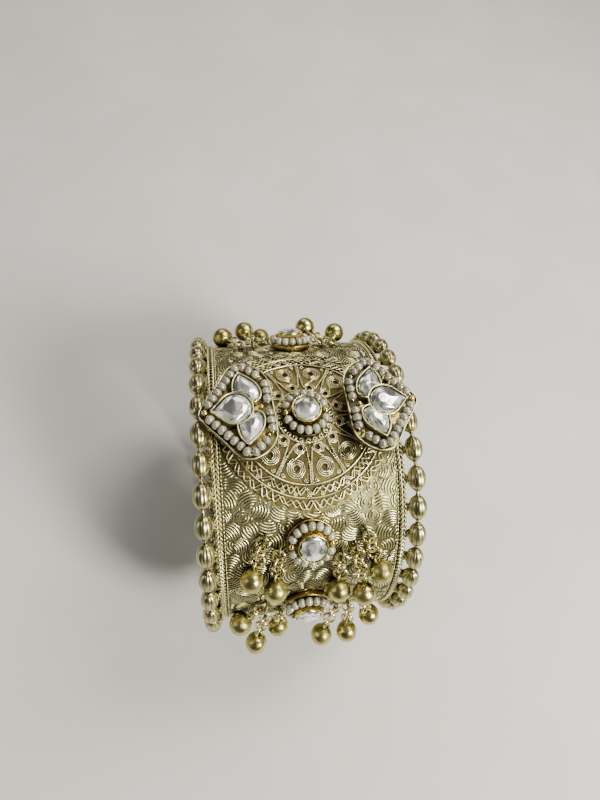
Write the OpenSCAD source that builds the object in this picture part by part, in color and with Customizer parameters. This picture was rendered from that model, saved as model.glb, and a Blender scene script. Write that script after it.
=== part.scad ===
// Broad closed brass bangle: an embossed band between two rims of melon beads,
// with an applied filigree medallion, two lotus settings, four round settings,
// seed pearls and clusters of small hollow bells on jump rings.
// X is the axis of the wrist opening. Angle t runs round that axis from the top (+Z)
// towards -Y, and r is the distance from the axis.

/* [Band] */
// Radius of the wrist opening
wrist_r = 30.15; // [28:0.05:33]
// Thickness of the band's sheet
band_wall = 1.05; // [0.9:0.05:1.3]
// Width of the band along its axis
band_w = 36.5; // [36:0.1:37]
// Radius of the twisted wire along each edge
rope_r = 0.3; // [0.25:0.05:0.4]

/* [Bead rims] */
// Number of melon beads in each rim
rim_beads = 36; // [36:1:36]
// Radius of a melon bead
rim_bead_r = 1.75; // [1.7:0.05:1.85]
// Length of the straight middle of a melon bead
rim_bead_mid = 1.2; // [1:0.05:1.3]
// Distance of a rim's middle from the middle of the band
rim_x = 20.2; // [20.2:0.05:20.6]
// Radius of the wire that the melon beads sit on
rim_wire_r = 0.3; // [0.25:0.05:0.4]

/* [Medallion] */
// Angle of the medallion's centre
medallion_t = 0; // [-1:0.5:1]
// Radius of the medallion's outer looped wire
medallion_r = 17.3; // [17:0.1:17.5]
// Thickness of the pierced sheet
medallion_sheet = 0.35; // [0.3:0.05:0.4]
// Height of the wires above the band
medallion_h = 0.8; // [0.7:0.05:0.9]
// Number of spiral pairs round the medallion
spiral_pairs = 12; // [12:1:12]

/* [Round settings] */
// Places of the four round settings: x, angle
round_places = [[0, -77], [0.5, -45], [-0.7, 43.8], [-0.8, 76.5]];
// Outer radius of a round setting's dish
dish_r = 4.7; // [4.65:0.05:5]
// Radius of the ring of seed pearls
pearl_ring_r = 3.85; // [3.85:0.01:3.9]
// Height of the seed pearls' centres above the band
pearl_h = 2.1; // [2:0.05:2.2]
// Height of a round setting's bezel lip above the band
bezel_h = 3.8; // [3.6:0.05:4]
// Radius of a round stone
stone_r = 2.42; // [2.4:0.01:2.45]
// Radius of a seed pearl
pearl_r = 0.7; // [0.65:0.01:0.7]

/* [Lotus settings] */
// Places of the two lotus plates: x, y up the tangent plane, tilt in degrees
lotus_places = [[-13.3, 0.1, 3.8], [14.9, 0.1, 1.9]];
// Distance of the plates' underside from the axis
lotus_r = 34.3; // [34.25:0.05:34.5]
// Thickness of a plate
plate_h = 0.45; // [0.4:0.05:0.6]
// Height of the rim wire above the plate
plate_rim_h = 0.6; // [0.5:0.05:0.8]
// Height of the petal bezels above the plate
petal_h = 1.7; // [1.5:0.05:1.9]
// Radius of the round end of the middle petal
petal_r = 3.35; // [3.3:0.01:3.4]

/* [Bells] */
// Outer radius of a bell
bell_r = 2.3; // [2.1:0.05:2.3]
// Wall of a bell
bell_wall = 0.3; // [0.25:0.05:0.4]
// Width of the slot in a bell
slot_w = 0.45; // [0.4:0.05:0.6]
// Radius of a jump ring, to the middle of its wire
link_r = 1.25; // [1.25:0.01:1.3]
// Radius of a jump ring's wire
link_wire = 0.25; // [0.2:0.01:0.25]

/* [Hidden] */
$fn = 48;
band_r = wrist_r + band_wall;
rim_r = band_r + 1.1;
gap = 0.05;

gold = "#c9a65a";
amber = "#b8771f";
bright_gold = "#e3c25c";
pearl_white = "#e6dfe2";
stone_clear = "#dfe3e8";

// Seed pearls of a round setting: the places left and right hold gold balls
ring_places = 16;
ring_gold = [0, 8];
pearl_hole = 0.24;
pearl_wire = 0.12;
ball_r = 0.62;

// Medallion pattern: radii of the two rounds of spirals and of the smooth wires
spiral_out_r = 10.5;
spiral_in_r = 6.7;
wire_rounds = [13.1, 15.3, medallion_r - 0.22];
wire_w = 0.45;
fine_w = 0.4;

// Heights inside a round setting, above the band's crest
dish_floor = 0.5;
dish_lip = 1.1;
collet_r = 2.8;
dish_foot_r = 4.0;

// Outline of half a lotus plate: u from the plate's centre outwards, v along its flat side
plate_half = [
    // [u, v]
    [-7.15, 0], [-7.1, 4.9], [-6.3, 7.2], [-4.6, 8.9], [-2.6, 9.8], [-0.7, 9.75],
    [0.9, 8.7], [2.7, 6.05], [4.4, 3.85], [5.9, 1.95], [6.85, 0]];
// Outline of a side petal from its base round its outer side to its tip and back
petal_side = [
    // [u, v]
    [-3.85, 0.75], [-4.85, 1.5], [-5.15, 2.7], [-4.8, 4.2], [-3.8, 5.65], [-1.35, 7.65],
    [-0.45, 6.5], [0.1, 5.2], [0.25, 3.9]];
// Distance by which a side petal's bezel runs into the middle petal's
petal_lap = 0.24;
petal_tip_u = 4.7;
bezel_w = 0.33;
plate_rim_w = 0.35;
post_r = 0.8;
lotus_pearl_z = plate_h + 1.05;
// Rows of seed pearls in half a lotus: first pearl, last pearl and count
pearl_rows = [
    // [u0, v0, u1, v1, count]
    [-6.05, 1.5, -6.05, 4.6, 3],
    [-4.6, 6.85, -2.35, 8.75, 3],
    [-0.9, 8.5, 4.82, 1.52, 7]];
// Gold balls of a lotus: u, v, radius
lotus_balls = [[-4.85, 0, 0.42], [5.45, 0, 0.5], [-5.35, 5.8, 0.35], [-5.35, -5.8, 0.35]];

// Each bell: the x and t of its eyelet, and the x, t and r of its own middle
bell_rows = [
    // [cluster, eye_x, eye_t, x, t, r]
    ["front_left", -9.4, 41, -12.1, 55, 33.6],
    ["front_left", -6.7, 46, -7.6, 61.1, 33.6],
    ["front_right", 8.2, 48, 9.7, 64.1, 35],
    ["front_right", 10.2, 42, 13.1, 57, 33.7],
    ["front_right", 5.4, 50, 4.9, 64.5, 33.6],
    ["lower_left", -9.6, 74.5, -14.5, 82.4, 33.7],
    ["lower_left", -9.2, 82.5, -11.3, 96.5, 37.1],
    ["lower_left", -6.2, 82, -6.2, 97.5, 34.2],
    ["lower_right", 5.8, 82, 3.1, 96.1, 37.1],
    ["lower_right", 8.6, 83.5, 8.9, 96.1, 37.1],
    ["lower_right", 10.8, 77, 14.2, 94, 34.2],
    ["top_left", -10.8, -45, -14.6, -55.5, 33.6],
    ["top_left", -8.0, -45.5, -9.3, -59.8, 35],
    ["top_left", -5.6, -52, -5.2, -66.8, 33.9],
    ["top_right", 7.6, -44, 5.2, -56.4, 35.4],
    ["top_right", 9.8, -44, 12.2, -55.2, 33.8],
    ["back_left", -10.4, -72, -14.2, -81, 34.8],
    ["back_left", -6.6, -81, -7.4, -94, 36],
    ["back_left", -9.6, -79, -12.6, -94, 35.6],
    ["back_right", 10.4, -72, 14.2, -81, 34.8],
    ["back_right", 6.6, -81, 7.4, -94, 36],
    ["back_right", 9.6, -79, 12.6, -94, 35.6]];
clusters = ["front_left", "front_right", "lower_left", "lower_right",
    "top_left", "top_right", "back_left", "back_right"];
sides = ["left", "right"];
petals = ["middle", "upper", "lower"];
round_names = ["back", "top", "front", "lower"];
letters = "abc";

eye_r = 0.85;
eye_wire = 0.24;
loop_r = 0.75;
loop_wire = 0.24;
loop_z = bell_r + 0.65;
eye_h = 1.02;
// Distance from a jump ring to the eyelet or loop at its end, and to the next ring: tight and taut
end_range = [1.05, 1.45];
step_range = [1.52, 1.86];

function cluster_bells(c) = [for (b = bell_rows) if (b[0] == c) b];
function bell_name(c, k) = str("bell_", c, "_", letters[k]);

// A point at x, angle t and distance r from the axis
function at(x, t, r) = [x, -r * sin(t), r * cos(t)];
function mix(a, b, f) = a + (b - a) * f;

// Local Z points out of the band at angle t, and local Y runs back towards smaller t
module on_band(t, r = 0, x = 0) {
    translate([x, 0, 0]) rotate([t, 0, 0]) translate([0, 0, r]) children();
}

module on_round_place(i) {
    on_band(round_places[i][1], band_r, round_places[i][0]) children();
}

module torus(radius, wire) {
    rotate_extrude() translate([radius, 0]) circle(wire);
}

// A solid of revolution about the wrist axis, drawn as radius and x
module round_axis() {
    rotate([0, 90, 0]) rotate_extrude($fn = 180) children();
}

// A rod along the wrist axis, to cut or to bound
module axis_rod(radius, length = 60) {
    rotate([0, 90, 0]) cylinder(r = radius, h = length, center = true, $fn = 180);
}

// Smooth closed curve through points, with a few steps between each pair
function curve_point(a, b, c, d, f) =
    0.5 * ((2 * b) + (c - a) * f + (2 * a - 5 * b + 4 * c - d) * f * f
        + (3 * b - a - 3 * c + d) * f * f * f);
function closed_curve(p, steps) = let (n = len(p))
    [for (i = [0:n - 1]) for (s = [0:steps - 1])
        curve_point(p[(i + n - 1) % n], p[i], p[(i + 1) % n], p[(i + 2) % n], s / steps)];
function unit2(v) = v / norm(v);
// A closed curve moved inwards by d: anticlockwise points keep their order
function inset(p, d) = let (n = len(p))
    [for (i = [0:n - 1])
        let (a = unit2(p[(i + 1) % n] - p[(i + n - 1) % n])) p[i] + d * [-a[1], a[0]]];
function flip(p) = [for (i = [len(p) - 1:-1:0]) [p[i][0], -p[i][1]]];
function reverse(p) = [for (i = [len(p) - 1:-1:0]) p[i]];
function centre(p) = [for (k = [0, 1]) [for (q = p) q[k]] * [for (q = p) 1] / len(p)];
function shrink(p, f) = let (c = centre(p)) [for (q = p) c + (q - c) * f];

module band() {
    color(gold) difference() {
        union() {
            round_axis() {
                translate([wrist_r, -band_w / 2]) square([band_wall, band_w]);
                for (s = [-1, 1])
                    translate([band_r + rope_r / 2, s * (band_w / 2 - rope_r)]) circle(rope_r);
            }
            for (b = bell_rows) eyelet(b);
        }
        axis_rod(wrist_r);
    }
}

// Frame of a bell's chain: local Z runs from the eyelet to the bell, local X out of the band
module along_chain(b) {
    e = eye_centre(b);
    d = bell_centre(b) - e;
    th = acos(d[2] / norm(d));
    ph = atan2(d[1], d[0]);
    out = [0, -sin(b[2]), cos(b[2])];
    lx = [cos(th) * cos(ph), cos(th) * sin(ph), -sin(th)];
    ly = [-sin(ph), cos(ph), 0];
    translate(e) rotate([0, th, ph]) rotate([0, 0, atan2(out * ly, out * lx)]) children();
}
function eye_centre(b) = at(b[1], b[2], band_r + eye_h);
function bell_centre(b) = at(b[3], b[4], b[5]);
function chain_length(b) = norm(bell_centre(b) - eye_centre(b)) - loop_z;
function reach(n, j) = 2 * end_range[j] + (n - 1) * step_range[j];
function link_count(b) = 1 + ceil((chain_length(b) - 2 * end_range[1]) / step_range[1]);
function link_z(b, k) =
    let (n = link_count(b), slack = (chain_length(b) - reach(n, 0)) / (reach(n, 1) - reach(n, 0)))
        mix(end_range[0], end_range[1], slack) + k * mix(step_range[0], step_range[1], slack);
// Jump rings lie and lean by turns
function link_roll(k) = k % 2 == 0 ? 115 : 45;

module eyelet(b) {
    along_chain(b) rotate([90, 0, 0]) torus(eye_r, eye_wire);
}

module jump_rings(c) {
    color(bright_gold) for (b = cluster_bells(c)) along_chain(b)
        for (k = [0:link_count(b) - 1])
            translate([0, 0, link_z(b, k)]) rotate([0, 0, link_roll(k)])
                rotate([90, 0, 0]) torus(link_r, link_wire);
}

// A hollow bell hanging from its loop, with the slot at the far end
module bell(b) {
    slot_end = bell_r * 0.62;
    color(bright_gold) along_chain(b)
        translate([0, 0, chain_length(b) + loop_z]) rotate([0, 0, link_roll(link_count(b))])
            difference() {
                union() {
                    sphere(bell_r);
                    translate([0, 0, -loop_z]) rotate([90, 0, 0]) torus(loop_r, loop_wire);
                }
                sphere(bell_r - bell_wall);
                translate([-slot_end, -slot_w / 2, 0]) cube([2 * slot_end, slot_w, bell_r + 1]);
                for (s = [-1, 1]) translate([s * slot_end, 0, 0])
                    cylinder(r = slot_w * 0.8, h = bell_r + 1);
            }
}

// One rim: melon beads in a ring on their wire, each with a small lug towards the band
module bead_rim(s) {
    step = 360 / rim_beads;
    lug = rim_x - band_w / 2 - gap;
    lug_r = 0.4;
    lug_z = band_r - lug_r;
    color(gold) translate([s * rim_x, 0, 0]) {
        round_axis() translate([rim_r, 0]) circle(rim_wire_r);
        for (i = [0:rim_beads - 1]) rotate([(i + 0.5) * step, 0, 0]) {
            translate([0, 0, rim_r]) rotate([90, 0, 0]) melon_bead();
            translate([0, 0, lug_z]) {
                rotate([0, -s * 90, 0]) cylinder(r = lug_r, h = lug);
                sphere(lug_r);
            }
        }
    }
}

module melon_bead() {
    rotate_extrude() intersection() {
        union() {
            for (s = [-1, 1]) translate([0, s * rim_bead_mid / 2]) circle(rim_bead_r);
            translate([-rim_bead_r, -rim_bead_mid / 2]) square([2 * rim_bead_r, rim_bead_mid]);
        }
        translate([0, -4]) square([4, 8]);
    }
}

// Pierced sheet with raised wires, bent round the band
module filigree_medallion() {
    color(gold) on_band(medallion_t) intersection() {
        difference() {
            union() {
                intersection() {
                    axis_rod(band_r + medallion_sheet);
                    cylinder(r = medallion_r, h = 50);
                }
                intersection() {
                    axis_rod(band_r + medallion_h);
                    linear_extrude(50) medallion_wires();
                }
            }
            axis_rod(band_r + gap);
            linear_extrude(50) medallion_holes();
        }
        cylinder(r = medallion_r + 1, h = 50);
    }
}

module ring2d(radius, w = wire_w) {
    difference() {
        circle(radius + w / 2, $fn = 120);
        circle(radius - w / 2, $fn = 120);
    }
}

module medallion_wires() {
    for (r = wire_rounds) ring2d(r);
    ring2d(dish_r + fine_w);
    for (i = [0:spiral_pairs - 1]) rotate((i + 0.5) * 360 / spiral_pairs) {
        for (r = [1.65, 0.85]) translate([spiral_out_r, 0]) ring2d(r, fine_w);
        translate([spiral_in_r, 0]) ring2d(0.8, fine_w);
        for (s = [-1, 1]) rotate(s * 14) translate([8.1, 0]) square([9.4, fine_w], center = true);
    }
}

module medallion_holes() {
    circle(dish_foot_r + 0.6);
    for (side = [0, 1]) lotus_plane(side) lotus_posts() circle(post_r + gap);
    for (i = [0:spiral_pairs - 1]) rotate((i + 0.5) * 360 / spiral_pairs) {
        translate([spiral_out_r, 0]) circle(0.5);
        translate([spiral_in_r, 0]) circle(0.45);
        rotate(180 / spiral_pairs) for (r = [8.6, 11.7]) translate([r, 0]) circle(0.55);
    }
}

// Dish, collet with bezel lip, wire ring and two gold balls. Local Z 0 is the band's crest.
module round_setting(base) {
    difference() {
        union() {
            rotate_extrude() polygon([
                [0, -1], [dish_foot_r, -1], [dish_foot_r, 0.1], [dish_r, dish_lip],
                [dish_r - 0.35, dish_lip], [dish_r - 1.2, dish_floor], [0, dish_floor]]);
            difference() {
                cylinder(r1 = collet_r - 0.45, r2 = collet_r, h = bezel_h);
                translate([0, 0, 2.1]) cylinder(r = stone_r - 0.35, h = bezel_h);
                translate([0, 0, 2.7]) cylinder(r = stone_r + gap, h = bezel_h);
            }
            translate([0, 0, pearl_h]) torus(pearl_ring_r, pearl_wire);
            for (k = ring_gold) rotate(k * 360 / ring_places) translate([pearl_ring_r, 0, 0]) {
                translate([0, 0, pearl_h]) sphere(ball_r);
                cylinder(r = 0.3, h = pearl_h);
            }
        }
        translate([0, 0, -base]) axis_rod(base + gap);
    }
}

module ring_pearls() {
    difference() {
        for (k = [0:ring_places - 1]) if (len(search(k, ring_gold)) == 0)
            rotate(k * 360 / ring_places) translate([pearl_ring_r, 0, pearl_h]) sphere(pearl_r);
        translate([0, 0, pearl_h]) torus(pearl_ring_r, pearl_hole);
    }
}

// Cut stone over an outline: pavilion point, girdle, crown and table
function stone_ring(p, f, z) = [for (q = shrink(p, f)) [q[0], q[1], z]];
module cut_stone(p, z_low, z_girdle, z_table) {
    n = len(p);
    girdle = 0.25;
    rings = [stone_ring(p, 0.3, z_low), stone_ring(p, 1, z_girdle),
        stone_ring(p, 1, z_girdle + girdle), stone_ring(p, 0.8, mix(z_girdle, z_table, 0.75)),
        stone_ring(p, 0.55, z_table)];
    points = [for (r = rings) each r];
    sides_faces = [for (r = [0:len(rings) - 2]) for (i = [0:n - 1])
        [r * n + i, (r + 1) * n + i, (r + 1) * n + (i + 1) % n, r * n + (i + 1) % n]];
    polyhedron(points, concat(sides_faces,
        [[for (i = [0:n - 1]) i]], [[for (i = [n - 1:-1:0]) (len(rings) - 1) * n + i]]));
}

function circle_points(radius, n) = [for (i = [0:n - 1]) radius * [cos(i * 360 / n), sin(i * 360 / n)]];

module round_stone() {
    color(stone_clear) cut_stone(circle_points(stone_r, 16), 2.15, 2.95, bezel_h + 0.8);
}

// Lotus frames: local u points away from the middle of the band, local z 0 is the plate's underside
module lotus_frame(side) {
    on_band(medallion_t, lotus_r) lotus_plane(side) children();
}
module lotus_plane(side) {
    place = lotus_places[side];
    translate([place[0], place[1], 0]) rotate(place[2])
        mirror([side == 0 ? 1 : 0, 0, 0]) children();
}
// Two hidden posts carry a plate on the band
module lotus_posts() {
    for (m = [-1, 1]) translate([-1.4, m * 4.2, 0]) children();
}

plate_outline = closed_curve(concat([for (i = [len(plate_half) - 1:-1:0]) plate_half[i]],
    [for (i = [1:len(plate_half) - 2]) [plate_half[i][0], -plate_half[i][1]]]), 3);
middle_outline = let (a = acos(petal_r / petal_tip_u))
    concat([[petal_tip_u, 0]], [for (i = [0:20]) petal_r * [cos(mix(a, 360 - a, i / 20)),
        sin(mix(a, 360 - a, i / 20))]]);
// The back of a side petal follows the middle petal's round end
petal_back = [for (i = [0:6]) (petal_r - petal_lap) * [cos(mix(86, 167, i / 6)), sin(mix(86, 167, i / 6))]];
upper_outline = reverse(concat(petal_side, petal_back));
lower_outline = flip(upper_outline);
petal_outlines = [middle_outline, upper_outline, lower_outline];

module frame2d(p, w) {
    difference() {
        polygon(p);
        polygon(inset(p, w));
    }
}

module lotus_setting(side) {
    post_h = lotus_r - band_r + 1.5;
    color(gold) difference() {
        lotus_frame(side) {
            linear_extrude(plate_h) polygon(plate_outline);
            linear_extrude(plate_h + plate_rim_h) frame2d(plate_outline, plate_rim_w);
            for (p = petal_outlines) linear_extrude(plate_h + petal_h) frame2d(p, bezel_w);
            for (q = lotus_balls) translate([q[0], q[1], 0]) {
                translate([0, 0, plate_h + 0.6]) sphere(q[2]);
                cylinder(r = q[2] * 0.6, h = plate_h + 0.6);
            }
            for (m = [-1, 1]) for (row = pearl_rows) pearl_row_wire(row, m);
            lotus_posts() translate([0, 0, -post_h]) cylinder(r = post_r, h = post_h + plate_h / 2);
        }
        axis_rod(band_r + gap);
    }
}

function row_start(row, m) = [row[0], m * row[1], lotus_pearl_z];
function row_end(row, m) = [row[2], m * row[3], lotus_pearl_z];

module rod(a, b, radius) {
    d = b - a;
    translate(a) rotate([0, acos(d[2] / norm(d)), atan2(d[1], d[0])])
        cylinder(r = radius, h = norm(d));
}

module pearl_row_wire(row, m) {
    a = row_start(row, m);
    b = row_end(row, m);
    over = (pearl_r + 0.15) * (b - a) / norm(b - a);
    rod(a - over, b + over, pearl_wire);
    for (q = [a - over, b + over]) {
        translate(q) sphere(pearl_wire * 1.6);
        translate([q[0], q[1], 0]) cylinder(r = pearl_wire, h = lotus_pearl_z);
    }
}

module lotus_pearls(side) {
    color(pearl_white) lotus_frame(side) for (m = [-1, 1]) for (row = pearl_rows) {
        a = row_start(row, m);
        b = row_end(row, m);
        over = (b - a) / norm(b - a);
        difference() {
            for (i = [0:row[4] - 1]) translate(mix(a, b, i / (row[4] - 1))) sphere(pearl_r);
            rod(a - over, b + over, pearl_hole);
        }
    }
}

module lotus_stone(side, k) {
    color(stone_clear) lotus_frame(side) cut_stone(inset(petal_outlines[k], bezel_w + 3 * gap),
        plate_h + gap, plate_h + 0.9, plate_h + petal_h + 0.7);
}

band();
for (s = [0, 1]) bead_rim(2 * s - 1);
filigree_medallion();
color(amber) on_band(medallion_t, band_r) round_setting(band_r);  // centre_setting
on_band(medallion_t, band_r) round_stone();  // centre_stone
color(pearl_white) on_band(medallion_t, band_r) ring_pearls();  // centre_pearls
for (s = [0, 1]) lotus_setting(s);
for (s = [0, 1]) for (k = [0:2])
    lotus_stone(s, k);
for (s = [0, 1]) lotus_pearls(s);
for (i = [0:3]) {
    color(amber) on_round_place(i) round_setting(band_r);
    on_round_place(i) round_stone();
    color(pearl_white) on_round_place(i) ring_pearls();
}
for (c = clusters) for (k = [0:len(cluster_bells(c)) - 1])
    bell(cluster_bells(c)[k]);
for (c = clusters) jump_rings(c);
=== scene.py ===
"""Looks of a broad brass bangle: embossed band, fluted rims, filigree, stones, seed pearls and bells."""

import math

import bmesh
import bpy
import numpy as np
from mathutils import Matrix, Vector
from mathutils.geometry import delaunay_2d_cdt


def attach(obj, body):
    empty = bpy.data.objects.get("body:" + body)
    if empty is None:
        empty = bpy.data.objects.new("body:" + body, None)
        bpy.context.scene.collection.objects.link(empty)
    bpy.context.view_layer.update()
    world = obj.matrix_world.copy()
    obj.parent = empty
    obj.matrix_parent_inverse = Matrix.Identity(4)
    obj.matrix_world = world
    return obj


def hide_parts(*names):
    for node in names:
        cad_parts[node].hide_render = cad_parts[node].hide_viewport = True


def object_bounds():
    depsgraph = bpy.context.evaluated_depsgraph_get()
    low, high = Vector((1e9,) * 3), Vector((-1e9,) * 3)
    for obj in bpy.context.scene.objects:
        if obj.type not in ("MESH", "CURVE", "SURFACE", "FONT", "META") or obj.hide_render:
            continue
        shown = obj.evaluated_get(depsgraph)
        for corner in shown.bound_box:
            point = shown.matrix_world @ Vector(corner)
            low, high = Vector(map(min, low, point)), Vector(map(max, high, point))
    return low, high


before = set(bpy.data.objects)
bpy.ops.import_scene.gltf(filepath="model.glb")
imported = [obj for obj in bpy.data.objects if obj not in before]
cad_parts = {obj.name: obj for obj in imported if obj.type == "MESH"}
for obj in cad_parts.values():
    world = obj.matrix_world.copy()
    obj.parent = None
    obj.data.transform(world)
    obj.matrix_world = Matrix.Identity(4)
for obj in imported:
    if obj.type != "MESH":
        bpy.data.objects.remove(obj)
cad_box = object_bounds()

# Metres in a millimetre
MM = 0.001

# Sizes of the metalwork, in millimetres and degrees, as the solids have them
BAND_R = 31.2
BAND_W = 36.5
GAP = 0.05
RIM_X = 20.2
RIM_R = BAND_R + 1.1
RIM_BEADS = 36
BEAD_R = 1.75
BEAD_MID = 1.2
RIM_WIRE_R = 0.3
LUG_R = 0.4
MEDALLION_T = 0.0
MEDALLION_R = 17.3
SHEET_H = 0.35
SPIRAL_OUT_R = 10.5
SPIRAL_IN_R = 6.7
SPIRAL_PAIRS = 12
# The round settings' places: x, angle
ROUND_PLACES = {"back": (0.0, -77.0), "top": (0.5, -45.0), "front": (-0.7, 43.8), "lower": (-0.8, 76.5)}
DISH_R = 4.7
DISH_FOOT_R = 4.0
DISH_FLOOR = 0.5
DISH_LIP = 1.1
COLLET_R = 2.8
BEZEL_H = 3.8
PEARL_RING_R = 3.85
PEARL_H = 2.1
PEARL_PLACES = 16
GOLD_PLACES = (0, 8)
LOTUS_R = 34.3
LOTUS_PLACES = {"left": (-13.3, 0.1, 3.8), "right": (14.9, 0.1, 1.9)}
PLATE_H = 0.45
PLATE_RIM_H = 0.6
PETAL_H = 1.7
PETAL_R = 3.35
PETAL_LAP = 0.24
PETAL_TIP = 4.7
BEZEL_W = 0.33
LOTUS_PEARL_Z = PLATE_H + 1.05
POST_R = 0.8
POSTS = [(-1.4, 4.2), (-1.4, -4.2)]
# Outline of half a lotus plate, and of a side petal: (u outwards, v along the flat side)
PLATE_HALF = [(-7.15, 0), (-7.1, 4.9), (-6.3, 7.2), (-4.6, 8.9), (-2.6, 9.8), (-0.7, 9.75), (0.9, 8.7),
              (2.7, 6.05), (4.4, 3.85), (5.9, 1.95), (6.85, 0)]
PETAL_SIDE = [(-3.85, 0.75), (-4.85, 1.5), (-5.15, 2.7), (-4.8, 4.2), (-3.8, 5.65), (-1.35, 7.65),
              (-0.45, 6.5), (0.1, 5.2), (0.25, 3.9)]
# Rows of seed pearls in half a lotus: first u and v, last u and v, count
PEARL_ROWS = [(-6.05, 1.5, -6.05, 4.6, 3), (-4.6, 6.85, -2.35, 8.75, 3), (-0.9, 8.5, 4.82, 1.52, 7)]
# Gold balls on a lotus: u, v, radius
LOTUS_BALLS = [(-4.85, 0, 0.42), (5.6, 0, 0.58), (-5.35, 5.8, 0.35), (-5.35, -5.8, 0.35)]
# A round stone's girdle and a seed pearl: the solids have them smaller, to keep them apart
GIRDLE_R = 2.58
PEARL_R = 0.88

rng = np.random.default_rng(11)


# Geometry helpers, in millimetres

def unit(v):
    return v / np.linalg.norm(v, axis=-1, keepdims=True)


def grid(rows, columns, wrap_rows=False):
    """Quads between neighbours in a grid of points, counted row by row. Each row is a closed ring."""
    r, c = np.meshgrid(np.arange(rows if wrap_rows else rows - 1), np.arange(columns), indexing="ij")
    r2, c2 = (r + 1) % rows, (c + 1) % columns
    quads = [r * columns + c, r * columns + c2, r2 * columns + c2, r2 * columns + c]
    return np.stack(quads, -1).reshape(-1, 4)


def fan(centre, ring):
    """Triangles from a centre point to the neighbours in a ring."""
    return np.stack([np.full(len(ring), centre), ring, np.roll(ring, -1)], -1)


def new_object(name, data):
    made = bpy.data.objects.new(name, data)
    bpy.context.scene.collection.objects.link(made)
    return made


class Shape:
    """The points and faces of one piece, gathered from many small forms that are each put in place."""

    def __init__(self, place=np.asarray):
        self.place = place
        self.points, self.faces, self.finish, self.smooth, self.tone = [], [], [], [], []
        self.count = 0

    def add(self, form, finish=0, smooth=True, tone=None):
        """Adds a form: its points, and arrays of faces. It draws a tone unless one is given."""
        points, faces = form
        for part in faces:
            self.faces += (part + self.count).tolist()
            self.finish += [finish] * len(part)
            self.smooth += [smooth] * len(part)
        self.points.append(self.place(np.asarray(points, float)))
        self.tone.append(np.full(len(points), rng.random() if tone is None else tone))
        self.count += len(points)

    def make(self, name, finishes, stands_for=()):
        mesh = bpy.data.meshes.new(name)
        mesh.from_pydata((np.concatenate(self.points) * MM).tolist(), [], self.faces)
        mesh.polygons.foreach_set("material_index", self.finish)
        mesh.polygons.foreach_set("use_smooth", self.smooth)
        tone = mesh.attributes.new("tone", "FLOAT", "POINT")
        tone.data.foreach_set("value", np.concatenate(self.tone))
        work = bmesh.new()
        work.from_mesh(mesh)
        bmesh.ops.recalc_face_normals(work, faces=work.faces)
        work.to_mesh(mesh)
        work.free()
        for finish in finishes:
            mesh.materials.append(finish)
        piece = new_object(name, mesh)
        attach(piece, "root")
        if stands_for:
            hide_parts(*stands_for)


def moved(form, change):
    return change(form[0]), form[1]


def shifted(form, *by):
    return form[0] + np.array(by), form[1]


def turn_by(angle, size=2):
    """Matrix that turns row vectors by an angle in the plane of their first two numbers."""
    turn = np.eye(size)
    turn[:2, :2] = [[math.cos(angle), math.sin(angle)], [-math.sin(angle), math.cos(angle)]]
    return turn


def on_band(points, t, r=0.0):
    """Local Z points out of the band at angle t, and local Y runs back towards smaller t."""
    p = np.asarray(points, float)
    a = math.radians(t)
    y, z = p[..., 1], p[..., 2] + r
    return np.stack([p[..., 0], y * math.cos(a) - z * math.sin(a), y * math.sin(a) + z * math.cos(a)], -1)


def at_round(points, place):
    """Local Z 0 is the band's crest at the place, which is x and an angle."""
    return on_band(points, place[1], BAND_R) + [place[0], 0, 0]


def on_roll(x, u, h):
    """A point of the band rolled out flat: x along the axis, u along the girth, h above the sheet."""
    a = np.asarray(u) / BAND_R
    return np.stack([x + 0 * a, -(BAND_R + h) * np.sin(a), (BAND_R + h) * np.cos(a)], -1)


def lay(x, y, h):
    """A point of the flat medallion drawing, pressed on to the band, in the medallion's frame."""
    x, y, h = np.broadcast_arrays(x, y, h)
    return np.stack([x, y, np.sqrt((BAND_R + h) ** 2 - y ** 2)], -1)


def on_medallion(points):
    return on_band(points, MEDALLION_T)


def lotus_plane(u, v, side):
    """x and y on the medallion for a lotus's u, away from the middle of the band, and v."""
    x0, y0, tilt = LOTUS_PLACES[side]
    u = -u if side == "left" else u
    a = math.radians(tilt)
    return u * math.cos(a) - v * math.sin(a) + x0, u * math.sin(a) + v * math.cos(a) + y0


def in_lotus(points, side):
    """Local X and Y are u and v, and local Z 0 is the plate's underside."""
    x, y = lotus_plane(points[..., 0], points[..., 1], side)
    return on_band(np.stack([x, y, points[..., 2]], -1), MEDALLION_T, LOTUS_R)


def directions(path, closed):
    """Vectors along a path at each of its points."""
    ahead = np.roll(path, -1, 0) - np.roll(path, 1, 0)
    if not closed:
        ahead[0], ahead[-1] = path[1] - path[0], path[-1] - path[-2]
    return ahead


def tube(path, radius, up=(0, 0, 1), sides=6, closed=False):
    """A round wire along a path that never runs along up."""
    p = np.asarray(path, float)
    ahead = directions(p, closed)
    side = unit(np.cross(np.broadcast_to(up, p.shape), ahead))
    over = unit(np.cross(ahead, side))
    turn = 2 * np.pi * np.arange(sides) / sides
    reach = np.broadcast_to(radius, len(p))[:, None, None]
    ring = np.cos(turn)[None, :, None] * side[:, None] + np.sin(turn)[None, :, None] * over[:, None]
    points = (p[:, None] + reach * ring).reshape(-1, 3)
    faces = [grid(len(p), sides, closed)]
    if not closed:
        first, last = len(points), (len(p) - 1) * sides
        points = np.vstack([points, p[0], p[-1]])
        faces += [fan(first, np.arange(sides)), fan(first + 1, last + np.arange(sides))]
    return points, faces


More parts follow.
